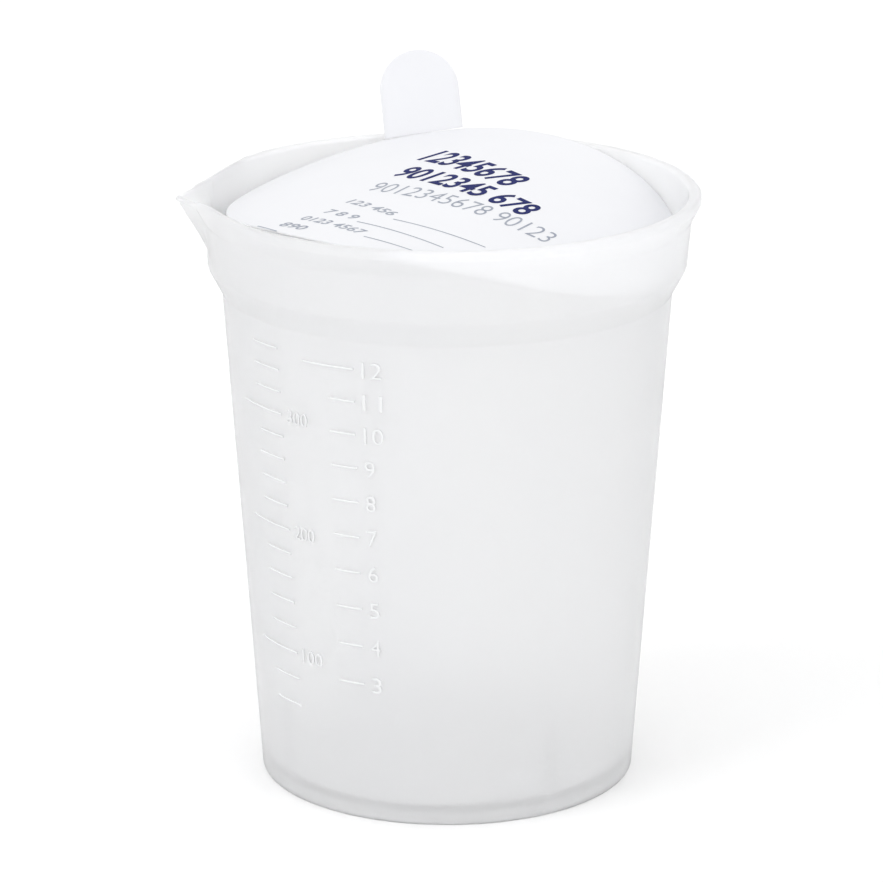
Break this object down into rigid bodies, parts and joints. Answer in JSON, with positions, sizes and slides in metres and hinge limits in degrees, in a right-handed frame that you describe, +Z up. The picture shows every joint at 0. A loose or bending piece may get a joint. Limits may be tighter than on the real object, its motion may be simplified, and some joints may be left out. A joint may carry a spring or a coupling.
{
  "type": "specimen container",
  "caption": "Tapered graduated specimen cup with a flared lip and pour spout, and a loose bowed paperboard lid with a folded pull tab.",
  "frame": {"origin": "centre of the foot ring, on the cup's axis", "axes": "+Z up along the cup's axis; the pour spout points to -X, turned 4 degrees towards -Y; -Y is the side with the graduations that faces the viewer"},
  "size_m": [0.0953, 0.092, 0.1262],
  "materials": {
    "natural_plastic": "satin translucent natural polypropylene",
    "coated_board": "smooth clay-coated white board, printed on top"
  },
  "bodies": {
    "cup": {"cup": "natural_plastic"},
    "lid": {"lid_disc": "coated_board"},
    "tab": {"lid_tab": "coated_board"}
  },
  "joints": [
    {"name": "lid_lift", "type": "slide", "parent": "cup", "child": "lid", "axis": [0, 0, 1], "range_m": [0, 0.045]},
    {"name": "tab_fold", "type": "hinge", "parent": "lid", "child": "tab", "pos_m": [-0.00442, 0.04023, 0.11096], "axis": [0.9816, 0.1494, 0.1186], "range_deg": [-63, 88]}
  ]
}
